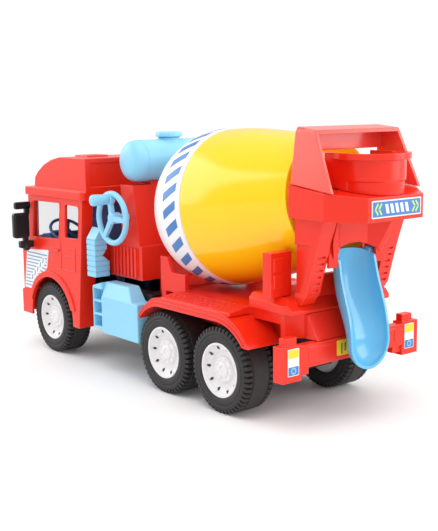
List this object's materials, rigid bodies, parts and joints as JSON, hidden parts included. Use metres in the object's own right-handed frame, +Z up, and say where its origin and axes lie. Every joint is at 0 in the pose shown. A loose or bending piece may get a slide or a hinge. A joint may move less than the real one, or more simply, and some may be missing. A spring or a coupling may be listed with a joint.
{
  "type": "toy cement mixer",
  "caption": "Plastic toy cement mixer truck with a hand-cranked turning drum, feed funnel, tilting discharge chute and free-rolling wheels",
  "frame": {"origin": "on the ground plane under the middle of the whole truck's bounding box", "axes": "+X points to the front of the truck, +Y to its left side, +Z up"},
  "size_m": [0.3804, 0.1592, 0.1926],
  "materials": {
    "red_plastic": "bright red moulded plastic, semi-gloss",
    "sky_plastic": "light blue moulded plastic, semi-gloss",
    "sky_gloss": "light blue blow-moulded plastic, glossy",
    "black_plastic": "black moulded plastic, fine texture",
    "yellow_plastic": "yellow moulded plastic, glossy",
    "white_plastic": "white moulded plastic, semi-gloss",
    "hub_plastic": "white moulded plastic, semi-gloss",
    "tyre_rubber": "black soft plastic, matte with fine tread",
    "steel": "plain drawn steel",
    "navy_plastic": "navy moulded plastic, satin",
    "clear_plastic": "thin clear plastic sheet",
    "lamp_plastic": "pearl white lamp faces",
    "sticker_paper": "printed gloss stickers in blue, white and yellow"
  },
  "bodies": {
    "truck_body": {"deck_body": "red_plastic", "rear_bumper": "red_plastic", "drum_stand": "red_plastic", "hopper_hood": "red_plastic", "feed_funnel": "red_plastic", "discharge_spout": "red_plastic", "control_box_left": "red_plastic", "control_box_right": "red_plastic", "drive_housing": "red_plastic", "cab_shell": "red_plastic", "cab_roof": "red_plastic", "air_stack_left": "sky_plastic", "air_stack_right": "sky_plastic", "fuel_tank_left": "sky_plastic", "fuel_tank_right": "sky_plastic", "water_tank": "sky_gloss", "tank_cap": "sky_gloss", "chassis_frame": "black_plastic", "mirror_left": "black_plastic", "mirror_right": "black_plastic", "front_grille": "black_plastic", "body_screws": "steel", "cab_interior": "navy_plastic", "steering_wheel": "navy_plastic", "cab_windscreen": "clear_plastic", "headlamp_left": "lamp_plastic", "headlamp_right": "lamp_plastic", "tail_sticker_left": "sticker_paper", "tail_sticker_right": "sticker_paper", "rear_plate": "sticker_paper", "rear_sign": "sticker_paper"},
    "drum": {"drum_rear_shell": "yellow_plastic", "drum_front_cone": "white_plastic", "drum_gear": "white_plastic"},
    "crank": {"hand_wheel": "sky_plastic", "crank_knob": "sky_plastic", "crank_shaft": "sky_plastic"},
    "chute": {"discharge_chute": "sky_gloss"},
    "rear_wheelset": {"rear_axle": "steel", "rear_left_hub": "hub_plastic", "rear_left_tyre": "tyre_rubber", "rear_right_hub": "hub_plastic", "rear_right_tyre": "tyre_rubber"},
    "middle_wheelset": {"middle_axle": "steel", "middle_left_hub": "hub_plastic", "middle_left_tyre": "tyre_rubber", "middle_right_hub": "hub_plastic", "middle_right_tyre": "tyre_rubber"},
    "front_wheelset": {"front_axle": "steel", "front_left_hub": "hub_plastic", "front_left_tyre": "tyre_rubber", "front_right_hub": "hub_plastic", "front_right_tyre": "tyre_rubber"}
  },
  "joints": [
    {"name": "drum_spin", "type": "hinge", "parent": "truck_body", "child": "drum", "pos_m": [-0.0397, 0, 0.1334], "axis": [0.9914, 0, -0.1305], "continuous": true},
    {"name": "crank_spin", "type": "hinge", "parent": "truck_body", "child": "crank", "pos_m": [0.0452, 0.05, 0.12222], "axis": [0, 1, 0], "continuous": true},
    {"name": "chute_tilt", "type": "hinge", "parent": "truck_body", "child": "chute", "pos_m": [-0.148, 0, 0.111], "axis": [0, 1, 0], "range_deg": [0, 40]},
    {"name": "rear_wheels_spin", "type": "hinge", "parent": "truck_body", "child": "rear_wheelset", "pos_m": [-0.085, 0, 0.03], "axis": [0, 1, 0], "continuous": true},
    {"name": "middle_wheels_spin", "type": "hinge", "parent": "truck_body", "child": "middle_wheelset", "pos_m": [-0.0205, 0, 0.03], "axis": [0, 1, 0], "continuous": true},
    {"name": "front_wheels_spin", "type": "hinge", "parent": "truck_body", "child": "front_wheelset", "pos_m": [0.14275, 0, 0.03], "axis": [0, 1, 0], "continuous": true}
  ],
  "couplings": [
    {"joint": "crank_spin", "follows": "drum_spin", "ratio": 2}
  ]
}
